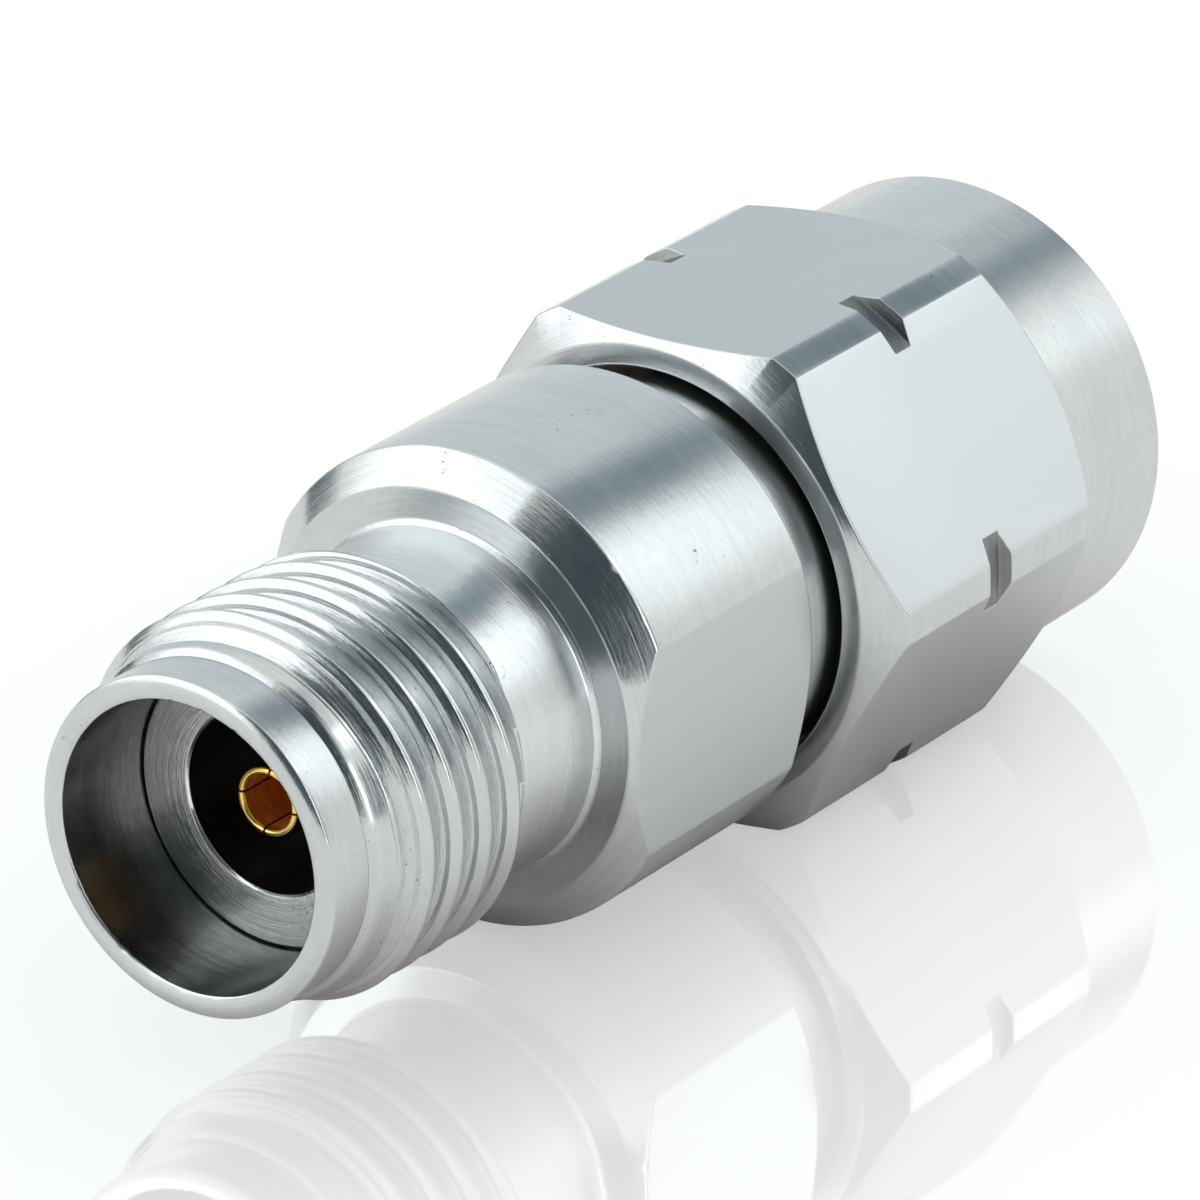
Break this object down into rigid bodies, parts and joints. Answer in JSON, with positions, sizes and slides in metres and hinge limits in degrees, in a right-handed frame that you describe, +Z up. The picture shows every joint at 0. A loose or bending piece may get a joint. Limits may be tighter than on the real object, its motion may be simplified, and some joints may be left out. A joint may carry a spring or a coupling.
{
  "type": "coax adapter",
  "caption": "Straight coaxial adapter: threaded socket end, round body with wrench flats, and a free-spinning hexagon coupling nut over the plug end.",
  "frame": {"origin": "under the middle of the part's length, on the plane that the nut's lower flat rests on", "axes": "+X along the axis from the socket's mouth to the nut's front, +Z up"},
  "size_m": [0.0206, 0.009, 0.008],
  "materials": {
    "steel": "turned stainless steel",
    "nut_steel": "turned and milled stainless steel",
    "sleeve": "turned brass",
    "bead": "dark moulded dielectric",
    "gold": "gold plated",
    "ring": "spring bronze"
  },
  "bodies": {
    "body": {"jack_shell": "steel", "plug_shell": "steel", "bead_sleeve": "sleeve", "jack_bead": "bead", "plug_bead": "bead", "socket_contact": "gold", "centre_rod": "gold", "pin_contact": "gold"},
    "ring": {"snap_ring": "ring"},
    "nut": {"coupling_nut": "nut_steel"}
  },
  "joints": [
    {"name": "nut_slide", "type": "slide", "parent": "body", "child": "ring", "axis": [1, 0, 0], "range_m": [-0.0002, 0.0002]},
    {"name": "nut_spin", "type": "hinge", "parent": "ring", "child": "nut", "pos_m": [0.00318, 0, 0.004], "axis": [1, 0, 0], "continuous": true}
  ]
}
